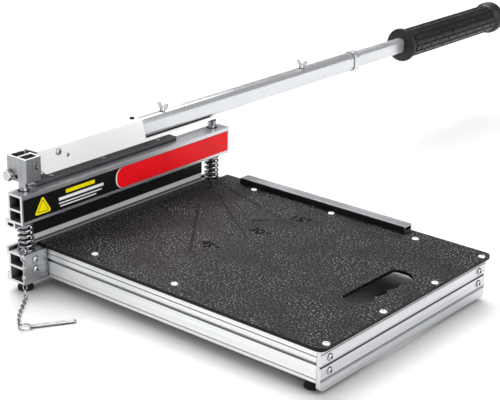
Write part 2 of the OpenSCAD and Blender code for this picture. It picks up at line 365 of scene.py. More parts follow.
@dataclass(frozen=True)
class PlatedSteel(Finish):
    """Steel with a bright zinc or nickel plate: small soft spangles."""

    grain_mm: float = 2.4
    dark: str = "#A9ABAE"
    # painted shade in corners: its reach and the share of colour left in the deepest corner
    corner_mm: float = 4.0
    corner_dark: float = 0.08

    def pattern(
        self, tree: bpy.types.NodeTree, where: bpy.types.NodeSocket
    ) -> dict[str, bpy.types.NodeSocket]:
        """Adds spangles to the colour and the gloss, and painted shade in the corners.

        Args:
            tree: the material's tree.
            where: the coordinates, in metres.

        Returns:
            What to link, by the shader's socket names.
        """
        rough = self.roughness
        unshaded_colour = add_node(
            tree,
            "ShaderNodeMix",
            {"data_type": "RGBA"},
            {
                0: grain(tree, where, self.grain_mm),
                6: linear(self.dark),
                7: linear(self.colour),
            },
        ).outputs[2]
        return {
            # the colour carries painted shade in the corners
            "Base Color": painted_occlusion_shade(tree, unshaded_colour, self.corner_mm, self.corner_dark),
            "Roughness": grain(tree, where, self.grain_mm, rough - 0.05, rough + 0.08),
        }


@dataclass(frozen=True)
class GroundBlade(Finish):
    """Tool steel, black oxide over the body, with the bevel ground bright above the edge."""

    bright: str = "#F6F7F8"
    bright_rough: float = 0.22
    thin_oxide: str = "#0D0D0E"
    oxide_mm: float = 5.0
    edge_top_mm: float = 66.0
    # grinding lines across the bevel, drawn at 0.9 mm, as fine as they can show
    line_mm: float = 0.9
    line_depth_mm: float = 0.012

    def pattern(
        self, tree: bpy.types.NodeTree, where: bpy.types.NodeSocket
    ) -> dict[str, bpy.types.NodeSocket]:
        """Splits the blade at the top of its bevel, and adds grinding lines across it.

        Args:
            tree: the material's tree.
            where: the coordinates, in metres.

        Returns:
            What to link, by the shader's socket names.
        """
        height = add_node(tree, "ShaderNodeSeparateXYZ", inputs={"Vector": where}).outputs["Z"]
        top = self.edge_top_mm * MM
        black = add_node(
            tree,
            "ShaderNodeMapRange",
            inputs={"Value": height, "From Min": top - 0.3 * MM, "From Max": top + 0.3 * MM},
        ).outputs["Result"]
        body = add_node(
            tree,
            "ShaderNodeMix",
            {"data_type": "RGBA"},
            {
                0: grain(tree, where, self.oxide_mm),
                6: linear(self.thin_oxide),
                7: linear(self.colour),
            },
        ).outputs[2]
        colour = add_node(
            tree,
            "ShaderNodeMix",
            {"data_type": "RGBA"},
            {0: black, 6: linear(self.bright), 7: body},
        ).outputs[2]
        rough = add_node(
            tree,
            "ShaderNodeMapRange",
            inputs={"Value": black, "To Min": self.bright_rough, "To Max": self.roughness},
        ).outputs["Result"]
        lines = grain(tree, where, self.line_mm, 0.0, 1.0, 0.0, 1.0, (1.0, 1.0, 40.0))
        raised = add_node(
            tree, "ShaderNodeBump", inputs={"Height": lines, "Distance": self.line_depth_mm * MM}
        )
        return {"Base Color": colour, "Roughness": rough, "Normal": raised.outputs["Normal"]}


@dataclass(frozen=True)
class PebbledPanel(Finish):
    """A pressed panel with a black textured skin: close rounded pebbles, with highlights painted
    pale on their crowns.
    """

    # the real pebbles are about 1 mm and wouldn't show, so they are drawn at 2.2 mm
    pebble_mm: float = 2.2
    pebble_depth_mm: float = 0.45
    warp_mm: float = 3.0
    patch_mm: float = 46.0
    # painted highlights: pale spots of this size on the pebble crowns, in this colour
    glint_mm: float = 2.3
    painted_glint: str = "#ACACAE"
    top_mm: float = 57.5

    def pattern(
        self, tree: bpy.types.NodeTree, where: bpy.types.NodeSocket
    ) -> dict[str, bpy.types.NodeSocket]:
        """Adds the pebbles, drawn as coarse as they show, and pale painted highlights on their
        crowns; grooves and edges stay plain black.

        Args:
            tree: the material's tree.
            where: the coordinates, in metres.

        Returns:
            What to link, by the shader's socket names.
        """
        rough = self.roughness
        warp = grain(tree, where, self.warp_mm, 0.0, 1.0, 0.0, 1.0, detail=2.0)
        moved = add_node(
            tree,
            "ShaderNodeVectorMath",
            {"operation": "MULTIPLY_ADD"},
            {
                0: add_node(tree, "ShaderNodeCombineXYZ", inputs={0: warp, 1: warp}).outputs[0],
                1: (1.6 * MM, 1.6 * MM, 0.0),
                2: where,
            },
        ).outputs[0]
        pebbles = add_node(
            tree,
            "ShaderNodeTexVoronoi",
            {"feature": "SMOOTH_F1"},
            {"Vector": moved, "Scale": 1.0 / (self.pebble_mm * MM), "Smoothness": 0.35},
        ).outputs["Distance"]
        dome = add_node(
            tree,
            "ShaderNodeMapRange",
            inputs={
                "Value": pebbles, "From Min": 0.05, "From Max": 0.62, "To Min": 1.0, "To Max": 0.0
            },
        ).outputs["Result"]
        # pale spots in patches on the top skin: painted highlights
        glint_spots = add_node(
            tree,
            "ShaderNodeMath",
            {"operation": "MULTIPLY"},
            {
                0: grain(tree, where, self.glint_mm, 0.0, 1.0, 0.57, 0.70, detail=1.0),
                1: grain(tree, where, self.patch_mm, 0.25, 0.8, 0.35, 0.65, detail=2.0),
            },
        ).outputs[0]
        height = add_node(tree, "ShaderNodeSeparateXYZ", inputs={"Vector": where}).outputs["Z"]
        top = self.top_mm * MM
        on_top = add_node(
            tree,
            "ShaderNodeMapRange",
            inputs={"Value": height, "From Min": top - 0.4 * MM, "From Max": top - 0.1 * MM},
        ).outputs["Result"]
        glints_on_skin = add_node(
            tree, "ShaderNodeMath", {"operation": "MULTIPLY"}, {0: glint_spots, 1: on_top}
        ).outputs[0]
        colour = add_node(
            tree,
            "ShaderNodeMix",
            {"data_type": "RGBA"},
            {0: glints_on_skin, 6: linear(self.colour), 7: linear(self.painted_glint)},
        ).outputs[2]
        raised = add_node(
            tree,
            "ShaderNodeBump",
            inputs={"Height": dome, "Distance": self.pebble_depth_mm * MM, "Strength": 0.9},
        )
        return {
            "Base Color": colour,
            "Roughness": grain(
                tree, where, self.patch_mm, rough - 0.06, rough + 0.07, detail=2.0
            ),
            "Normal": raised.outputs["Normal"],
        }


@dataclass(frozen=True)
class MouldedBlack(Finish):
    """Black rubber or nylon from a mould: a fine matte grain with paler handling marks."""

    grain_mm: float = 1.2
    grain_depth_mm: float = 0.05
    patch_mm: float = 18.0
    pale: str = "#2A2A2B"

    def pattern(
        self, tree: bpy.types.NodeTree, where: bpy.types.NodeSocket
    ) -> dict[str, bpy.types.NodeSocket]:
        """Adds the mould grain and soft paler patches.

        Args:
            tree: the material's tree.
            where: the coordinates, in metres.

        Returns:
            What to link, by the shader's socket names.
        """
        rough = self.roughness
        colour = add_node(
            tree,
            "ShaderNodeMix",
            {"data_type": "RGBA"},
            {
                0: grain(tree, where, self.patch_mm, 0.0, 1.0, 0.4, 0.75, detail=4.0),
                6: linear(self.colour),
                7: linear(self.pale),
            },
        ).outputs[2]
        height = grain(tree, where, self.grain_mm, 0.0, 1.0, 0.0, 1.0)
        raised = add_node(
            tree, "ShaderNodeBump", inputs={"Height": height, "Distance": self.grain_depth_mm * MM}
        )
        return {
            "Base Color": colour,
            "Roughness": grain(
                tree, where, self.patch_mm, rough - 0.05, rough + 0.08, detail=4.0
            ),
            "Normal": raised.outputs["Normal"],
        }


@dataclass(frozen=True)
class PrintedFilm(Finish):
    """Printed vinyl film with a satin face: a slight orange peel from the glue under it."""

    peel_mm: float = 4.0
    peel_depth_mm: float = 0.01
    ink_mm: float = 25.0
    deep: str = "#000000"

    def pattern(
        self, tree: bpy.types.NodeTree, where: bpy.types.NodeSocket
    ) -> dict[str, bpy.types.NodeSocket]:
        """Adds orange peel and a little change of ink density.

        Args:
            tree: the material's tree.
            where: the coordinates, in metres.

        Returns:
            What to link, by the shader's socket names.
        """
        colour = add_node(
            tree,
            "ShaderNodeMix",
            {"data_type": "RGBA"},
            {
                0: grain(tree, where, self.ink_mm, detail=2.0),
                6: linear(self.deep),
                7: linear(self.colour),
            },
        ).outputs[2]
        peel = grain(tree, where, self.peel_mm, 0.0, 1.0, 0.0, 1.0, detail=2.0)
        raised = add_node(
            tree, "ShaderNodeBump", inputs={"Height": peel, "Distance": self.peel_depth_mm * MM}
        )
        return {"Base Color": colour, "Normal": raised.outputs["Normal"]}


@dataclass(frozen=True)
class StudioPaper(Finish):
    """Matte white studio paper for the floor, with a deep soft contact shadow painted into its
    colour.
    """

    tooth_mm: float = 6.0
    tooth_depth_mm: float = 0.05
    dull: str = "#F2F2F2"
    shadow_reach_mm: float = 75.0
    shadow_left: float = 0.04
    shadow_ends: float = 0.58

    def pattern(
        self, tree: bpy.types.NodeTree, where: bpy.types.NodeSocket
    ) -> dict[str, bpy.types.NodeSocket]:
        """Adds a faint paper tooth and the painted contact shadow.

        Args:
            tree: the material's tree.
            where: the coordinates, in metres.

        Returns:
            What to link, by the shader's socket names.
        """
        tooth = grain(tree, where, self.tooth_mm, 0.0, 1.0, 0.0, 1.0)
        unshaded_colour = add_node(
            tree,
            "ShaderNodeMix",
            {"data_type": "RGBA"},
            {0: tooth, 6: linear(self.dull), 7: linear(self.colour)},
        ).outputs[2]
        raised = add_node(
            tree,
            "ShaderNodeBump",
            inputs={"Height": tooth, "Distance": self.tooth_depth_mm * MM, "Strength": 0.3},
        )
        return {
            # painted contact shadow: the colour darkens near and under the cutter
            "Base Color": painted_occlusion_shade(
                tree, unshaded_colour, self.shadow_reach_mm, self.shadow_left, self.shadow_ends
            ),
            "Normal": raised.outputs["Normal"],
        }


# extruded, etched and anodised: a pale satin with lines that run with the profile
ALUMINIUM_Y = ExtrudedAluminium(
    "anodised_aluminium_along_y", "#DDDEE1", 0.9, 0.34, dark="#CACCCF", end_tone_and_shade="#D6D7D9"
)
# the rails' copy is paler and less metallic than the beams': painted light on faces the lamps leave
# dim
ALUMINIUM_X = ExtrudedAluminium(
    "anodised_aluminium_along_x", "#F4F5F6", 0.72, 0.36, along=Axis.X, dark="#E6E8EA"
)
# a stock hollow bar for the fence: a duller, darker skin
FENCE_BAR = ExtrudedAluminium(
    "anodised_fence_bar", "#AEB0B3", 1.0, 0.40, along=Axis.X, dark="#9C9EA1"
)
# a short saw-cut length for the hinge block: darker sides and bright deburred ends, a contrast that
# is also painted light and shade
ALUMINIUM_Z = ExtrudedAluminium(
    "sawn_anodised_aluminium_block", "#AAACAF", 0.95, 0.38, along=Axis.Z, dark="#98999C",
    end_tone_and_shade="#F2F3F4", corner_dark=0.3,
)
# bead blasted and bright dipped: nearly white from every side
BRIGHT_LEVER = ExtrudedAluminium(
    "bright_dipped_aluminium", "#FEFEFE", 0.2, 0.34, dark="#FAFAFB", corner_mm=9.0,
    corner_dark=0.35, end_tone_and_shade="#F2F2F3",
)
# the press bar: a plain grey extrusion, darker than the rest to paint in the shadow the lever arm
# casts on it
SHADED_PRESS_BAR = ExtrudedAluminium("press_bar_painted_shade", "#8D8F92", 1.0, 0.34, dark="#7C7E81")
# drawn and polished tube: smoother and glossier than the extrusions
DRAWN_TUBE = ExtrudedAluminium(
    "drawn_aluminium_tube", "#DEE0E3", 0.75, 0.28, line_mm=1.2, dark="#D6D8DB", corner_mm=6.0
)
# the same anodised extrusion, kept for the anvil beam: a duller skin
ANVIL_BEAM = ExtrudedAluminium(
    "anodised_anvil_beam", "#C4C6C9", 0.95, 0.36, dark="#B0B2B5", end_tone_and_shade="#D2D3D5"
)
# barrel plated with zinc: bright, slightly blue, softly spangled
ZINC = PlatedSteel("zinc_plated_steel", "#DCDDDF", 1.0, 0.26)
# nickel plate on drawn wire and rod: glossier and warmer than the zinc
NICKEL = PlatedSteel("nickel_plated_steel", "#C9C8C5", 1.0, 0.20, grain_mm=1.6, dark="#8B8A8E")
# bright zinc on small heads: pale dots on the black panel
BRIGHT_HEAD = PlatedSteel(
    "bright_zinc_button_head", "#FFFFFF", 0.45, 0.38, grain_mm=3.0, dark="#F1F1F1"
)
# ground and hard chromed: sharp streaks of light on posts, springs and rollers
GROUND = PlatedSteel("ground_chromed_steel", "#B4B5B8", 1.0, 0.14, grain_mm=5.0, dark="#95969A")
# sintered and soaked in oil: bronze gone dark brown
BRONZE = PlatedSteel("oiled_sintered_bronze", "#3A3026", 1.0, 0.45, grain_mm=1.2, dark="#251E17")
# blackened in hot oxide: nearly black, with a grey shine on the edges
BLACK_SCREW = PlatedSteel("black_oxide_screw", "#2A2B2E", 1.0, 0.35, dark="#17181A")
# hardened, blackened, then ground on the bevel only: a dark band over a bright strip
BLADE = GroundBlade("tool_steel_blade", "#101113", 0.35, 0.42)
# pressed panel with a textured skin: deep black, with small pale highlights painted into its colour
BOARD = PebbledPanel("pebbled_black_panel", "#020202", 0.0, 0.46, shine=0.21)
# matt print on the panel: figures a little blacker than the pebbles round them
BOARD_EDGE = MouldedBlack("panel_black_print", "#010101", 0.0, 0.7, shine=0.05, pale="#020202")
# injection moulded nylon: black with a soft sheen
NYLON = MouldedBlack("black_nylon", "#0C0C0D", 0.0, 0.48, shine=0.4)
# compression moulded rubber: flat black feet, a satin grip with grey high spots
FOOT_RUBBER = MouldedBlack("moulded_foot_rubber", "#060606", 0.0, 0.62, shine=0.25, pale="#141414")
GRIP_RUBBER = MouldedBlack("moulded_grip_rubber", "#0B0B0C", 0.0, 0.42, shine=0.4, pale="#1E1E1F")
# skived foam strip: black that takes almost no light
EVA = MouldedBlack("black_eva_strip", "#050505", 0.0, 0.6, shine=0.25, pale="#101010")
# screen printed vinyl: even, saturated colour with a faint satin waviness
BLACK_FILM = PrintedFilm("black_vinyl_film", "#0C0C0E", 0.0, 0.35, shine=0.3, deep="#08080A")
RED_FILM = PrintedFilm("red_vinyl_film", "#F00A18", 0.0, 0.40, shine=0.2, deep="#E20814")
WHITE_INK = PrintedFilm("white_vinyl_ink", "#F2F2F2", 0.0, 0.35, shine=0.3, deep="#E6E6E6")
YELLOW_INK = PrintedFilm("yellow_vinyl_ink", "#F2E300", 0.0, 0.35, shine=0.3, deep="#E6D400")
# uncoated paper: matte white, with a painted shadow where the cutter stands close over it
PAPER = StudioPaper("studio_paper", "#F4F4F4", 0.0, 0.9)


# ---------------------------------------------------------------- mesh tools


class Shape:
    """Collects points, in mm of the CAD source, and faces, and turns them into a piece."""

    def __init__(self) -> None:
        """Starts an empty shape."""
        self.points: list[Vector] = []
        self.faces: list[tuple[int, ...]] = []

    def add(self, points: Iterable[Sequence[float]]) -> int:
        """Adds points and returns the number of the first."""
        first = len(self.points)
        self.points.extend(Vector(p) for p in points)
        return first

    def loft(self, rings: Sequence[Sequence[Sequence[float]]], closed: bool = False) -> None:
        """Skins rings of equal length, and caps the two ends unless the loft closes on itself.

        Args:
            rings: the rings, in order, each with the same number of points.
            closed: joins the last ring to the first.
        """
        n = len(rings[0])
        first = [self.add(r) for r in rings]
        pairs = list(zip(first, first[1:]))
        if closed:
            pairs.append((first[-1], first[0]))
        for a, b in pairs:
            for k in range(n):
                m = (k + 1) % n
                self.faces.append((a + k, a + m, b + m, b + k))
        if not closed:
            self.faces.append(tuple(first[0] + k for k in reversed(range(n))))
            self.faces.append(tuple(first[-1] + k for k in range(n)))

    def lathe(
        self,
        profile: Sequence[Point2],
        centre: Sequence[float],
        axis: Sequence[float],
        sides: int = 40,
        ring: Callable[[int, float], float] | None = None,
    ) -> None:
        """Turns a profile of (radius, height) round an axis.

        Args:
            profile: radius and height of each ring, in mm, from bottom to top.
            centre: the point on the axis at height 0.
            axis: the axis, pointing up the profile.
            sides: the points in each ring.
            ring: a factor on the radius, from the ring's number and the angle.
        """
        turn = Vector(axis).to_track_quat("Z", "Y").to_matrix()
        rings = []
        for i, (r, h) in enumerate(profile):
            loop = []
            for k in range(sides):
                a = math.tau * k / sides
                f = r * (ring(i, a) if ring else 1.0)
                loop.append(Vector(centre) + turn @ Vector((f * math.cos(a), f * math.sin(a), h)))
            rings.append(loop)
        self.loft(rings)

    def sweep(
        self, path: Sequence[Sequence[float]], radius: float, sides: int = 12, closed: bool = False
    ) -> None:
        """Runs a round wire along a path, with a frame that turns as little as it can.

        Args:
            path: the centreline, in mm.
            radius: the wire's radius, in mm.
            sides: the points round the wire.
            closed: joins the path's end to its start.
        """
        pts = [Vector(p) for p in path]
        n = len(pts)

        def along(i: int) -> Vector:
            """Returns the path's direction at point i."""
            if closed:
                return (pts[(i + 1) % n] - pts[i - 1]).normalized()
            return (pts[min(i + 1, n - 1)] - pts[max(i - 1, 0)]).normalized()

        side = along(0).orthogonal().normalized()
        rings = []
        for i in range(n):
            t = along(i)
            side = (side - side.dot(t) * t).normalized()
            up = t.cross(side)
            rings.append(
                [
                    pts[i]
                    + radius
                    * (math.cos(math.tau * k / sides) * side + math.sin(math.tau * k / sides) * up)
                    for k in range(sides)
                ]
            )
        self.loft(rings, closed)

    def slab(self, outline: Sequence[Point2], low: float, high: float, axis: Axis) -> None:
        """Extrudes a flat outline along an axis.

        Args:
            outline: the two coordinates across the axis, in X, Y, Z order.
            low: the first end along the axis, in mm.
            high: the other end.
            axis: the direction of the extrusion.
        """

        def place(p: Point2, h: float) -> Point:
            """Puts an outline point on the axis.

            Args:
                p: the outline point.
                h: its height along the axis.

            Returns:
                The point in space.
            """
            if axis is Axis.X:
                return (h, p[0], p[1])
            if axis is Axis.Y:
                return (p[0], h, p[1])
            return (p[0], p[1], h)

        self.loft([[place(p, low) for p in outline], [place(p, high) for p in outline]])

    def piece(
        self,
        name: str,
        body: str,
        finish: Finish,
        replaces: Sequence[str] = (),
        sharp_deg: float = 35.0,
        bevel_mm: float = 0.0,
    ) -> bpy.types.Object:
        """Makes the shape a piece that rides on a CAD body.

        Args:
            name: the piece's name.
            body: the CAD body it rides on.
            finish: its surface.
            replaces: the CAD nodes it stands for.
            sharp_deg: edges sharper than this stay hard.
            bevel_mm: the width of a bevel on the hard edges, or 0 for none.

        Returns:
            The piece's object.
        """
        mesh = bpy.data.meshes.new(name)
        mesh.from_pydata([tuple(row(p)) for p in self.points], [], self.faces)
        mesh.validate()
        obj = bpy.data.objects.new(name, mesh)
        bpy.context.scene.collection.objects.link(obj)
        outward(mesh)
        mesh.materials.append(finish.material())
        if bevel_mm:
            bevel(obj, bevel_mm, sharp_deg)
        else:
            mesh.set_sharp_from_angle(angle=math.radians(sharp_deg))
        mesh.polygons.foreach_set("use_smooth", [True] * len(mesh.polygons))
        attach(obj, body)
        if replaces:
            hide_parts(*replaces)
        log.info("%s rides on %s: %d faces, %s", name, body, len(mesh.polygons), finish.name)
        return obj


def outward(mesh: bpy.types.Mesh) -> None:
    """Turns every face of a closed mesh to look outwards.

    Args:
        mesh: the mesh.
    """
    work = bmesh.new()
    work.from_mesh(mesh)
    bmesh.ops.recalc_face_normals(work, faces=work.faces)
    work.to_mesh(mesh)
    work.free()


def bevel(obj: bpy.types.Object, width_mm: float, sharp_deg: float = 35.0) -> None:
    """Rounds the hard edges of an object by modifiers, and shades it smooth up to them.

    Args:
        obj: the object.
        width_mm: the width of the rounding, in mm.
        sharp_deg: edges sharper than this are rounded.
    """
    weld = obj.modifiers.new("weld", "WELD")
    weld.merge_threshold = 0.002 * MM
    flat = obj.modifiers.new("flat_faces", "DECIMATE")
    flat.decimate_type = "DISSOLVE"
    flat.angle_limit = math.radians(0.6)
    soft = obj.modifiers.new("edge_round", "BEVEL")
    soft.width = width_mm * MM
    soft.segments = 2
    soft.limit_method = "ANGLE"
    soft.angle_limit = math.radians(sharp_deg)
    soft.use_clamp_overlap = False
    soft.harden_normals = True


def round_outline(
    corners: Sequence[tuple[float, float, float]], steps: int = 6
) -> list[Point2]:
    """Rounds the corners of an outline.

    Args:
        corners: x, y and corner radius of each corner, in order.
        steps: the points on each corner's arc, less one.

    Returns:
        The outline's points.
    """
    n, out = len(corners), []
    for i, (x, y, r) in enumerate(corners):
        here = Vector((x, y))
        back = (Vector(corners[i - 1][:2]) - here).normalized()
        on = (Vector(corners[(i + 1) % n][:2]) - here).normalized()
        if r <= 0:
            out.append((x, y))
            continue
        half = math.acos(max(-1.0, min(1.0, back.dot(on)))) / 2
        reach = r / math.tan(half)
        centre = here + (back + on).normalized() * (r / math.sin(half))
        a, b = here + back * reach - centre, here + on * reach - centre
        start = math.atan2(a.y, a.x)
        sweep = (math.atan2(b.y, b.x) - start + math.pi) % math.tau - math.pi
        for k in range(steps + 1):
            t = start + sweep * k / steps
            out.append((centre.x + r * math.cos(t), centre.y + r * math.sin(t)))
    return out


def hex_factor(angle: float) -> float:
    """Returns a hexagon's radius at an angle, as a share of its corner radius."""
    part = (angle % (math.pi / 3)) - math.pi / 6
    return math.cos(math.pi / 6) / math.cos(part)


@dataclass(frozen=True)
class ButtonScrew:
    """A button head screw with a hex socket."""

    head_r: float
    head_t: float
    socket_r: float
    shank_r: float
    shank_len: float
    socket_depth: float = 1.1

    def into(self, shape: Shape, at: Point, towards: HeadTowards, sides: int = 36) -> None:
        """Adds one screw to a shape.

        Args:
            shape: the shape that takes it.
            at: the centre of the face under its head.
            towards: the way its head faces.
            sides: the points round it, a multiple of 6.
        """
        r, t, s = self.head_r, self.head_t, self.socket_r
        profile = [
            (0.05, -self.shank_len),
            (self.shank_r * 0.8, -self.shank_len),
            (self.shank_r, -self.shank_len + 0.5),
            (self.shank_r, 0.0),
            (r * 0.98, 0.0),
            (r, 0.18 * t),
            (r * 0.93, 0.52 * t),
            (r * 0.80, 0.80 * t),
            (r * 0.66, 0.95 * t),
            (s * 1.14, t),
            (s * 1.06, t - 0.08),
            (s * 1.02, t - self.socket_depth),
            (0.05, t - self.socket_depth - 0.25),
        ]
        inner = len(profile) - 4

        def ring(i: int, angle: float) -> float:
            """Makes the socket's rings hexagons."""
            return hex_factor(angle) if inner < i < len(profile) - 1 else 1.0

        shape.lathe(profile, at, towards.value, sides, ring)


# ---------------------------------------------------------------- sub-assemblies


@dataclass
class SubAssembly:
    """Parts of the cutter that are dressed together."""

    body: str = "frame"

    def dress(self, finish: Finish, *nodes: str, bevel_mm: float = 0.0) -> None:
        """Gives CAD nodes a finish, and rounds their edges when asked.

        Args:
            finish: the surface.
            nodes: the CAD nodes' names.
            bevel_mm: the width of the edge rounding, or 0 for none.
        """
        for name in nodes:
            obj = frame["nodes"][name]
            obj.data.materials.clear()
            obj.data.materials.append(finish.material())
            if bevel_mm:
                bevel(obj, bevel_mm)
            log.info("%s keeps its CAD mesh, %s", name, finish.name)


@dataclass
class Bed(SubAssembly):
    """The plank bed: rails, end rail, board, fence, screws, feet and angle marks."""

    # the screw ports of the end rail, on its outer face
    port_x: float = 422.0
    port_y: tuple[float, float] = (15.5, 317.5)
    port_z: tuple[float, float] = (26.0, 42.0)
    board_top: float = 57.5
    board_screws: tuple[Point2, ...] = (
        (66, 17), (197, 17), (64, 319.6), (196, 319.6), (327, 320),
        (419, 12), (419, 117), (419, 222), (419, 326.5),
    )
    feet: tuple[Point2, ...] = ((402, 14), (402, 319), (-18, -22), (-14, 300))
    # centre, turn in degrees and figure of each angle mark
    marks: tuple[tuple[float, float, float, int], ...] = (
        (179, 274, 5, 15), (167, 206, -7, 30), (149, 130, -20, 45),
    )
    figure_h: float = 15.0
    figure_proud: float = 0.12
    # a capital's share of a font's size
    cap_share: float = 0.7

    def build(self) -> None:
        """Builds and dresses the bed."""
        self.dress(ALUMINIUM_X, "side_rail_near", "side_rail_far", bevel_mm=0.5)
        self.dress(FENCE_BAR, "edge_fence", bevel_mm=0.4)
        self.dress(ALUMINIUM_Y, "end_rail", bevel_mm=0.5)
        self.dress(BOARD, "work_board", bevel_mm=0.5)
        self.dress(EVA, "fence_strip", bevel_mm=0.3)
        self.dress(ZINC, "fence_screws", "rail_screws")
        self.screws()
        self.rubber_feet()
        for x, y, turn, figure in self.marks:
            self.angle_mark(x, y, turn, figure)

    def screws(self) -> None:
        """Makes the board's screws and the end rail's screws."""
        kind = ButtonScrew(4.5, 1.6, 1.4, 1.95, 8.8, 0.9)
        board = Shape()
        for x, y in self.board_screws:
            kind.into(board, (x, y, self.board_top), HeadTowards.UP)
        board.piece("board_button_screws", self.body, BRIGHT_HEAD, ["board_screws"])
        kind = ButtonScrew(4.3, 2.4, 2.0, 2.45, 19.0)
        ends = Shape()
        for y in self.port_y:
            for z in self.port_z:
                kind.into(ends, (self.port_x, y, z), HeadTowards.PLUS_X)
        ends.piece("end_rail_button_screws", self.body, ZINC, ["end_rail_screws"])

    def rubber_feet(self) -> None:
        """Makes the four round feet, each with a waist and a moulded lip."""
        profile = [
            (0.1, 1.5), (4.0, 1.5), (4.4, 0.6), (8.8, 0.0), (9.6, 0.25), (10.0, 1.0), (9.9, 3.6),
            (9.5, 4.6), (8.7, 5.2), (8.3, 7.0), (8.2, 11.5), (8.5, 12.6), (8.5, 13.9), (0.1, 13.95),
        ]
        shape = Shape()
        for x, y in self.feet:
            shape.lathe(profile, (x, y, 0.0), Axis.Z.value, 40)
        shape.piece("rubber_feet", self.body, FOOT_RUBBER, ["feet"])

    def angle_mark(self, x: float, y: float, turn: float, figure: int) -> None:
        """Makes one moulded angle figure, such as on a protractor.

        Args:
            x: the figure's centre.
            y: the same across.
            turn: its turn in degrees.
            figure: the angle that it gives.
        """
        name = f"angle_figure_{figure}"
        text = bpy.data.curves.new(name, "FONT")
        text.body = f"{figure}°"
        text.align_x, text.align_y = "CENTER", "CENTER"
        text.size = self.figure_h * MM / self.cap_share
        text.extrude = self.figure_proud * MM
        text.bevel_depth = 0.1 * MM
        text.bevel_resolution = 1
        made = bpy.data.objects.new(name + "_curve", text)
        bpy.context.scene.collection.objects.link(made)
        bpy.context.view_layer.update()
        solid = made.evaluated_get(bpy.context.evaluated_depsgraph_get())
        mesh = bpy.data.meshes.new_from_object(solid)
        bpy.data.objects.remove(made)
        mesh.name = name
        centre = row((x, y, self.board_top + self.figure_proud))
        mesh.transform(Matrix.Translation(centre) @ Matrix.Rotation(math.radians(turn), 4, "Z"))
        mesh.materials.clear()
        mesh.materials.append(BOARD_EDGE.material())
        obj = bpy.data.objects.new(name, mesh)
        bpy.context.scene.collection.objects.link(obj)
        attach(obj, self.body)
        log.info("%s rides on %s", name, self.body)


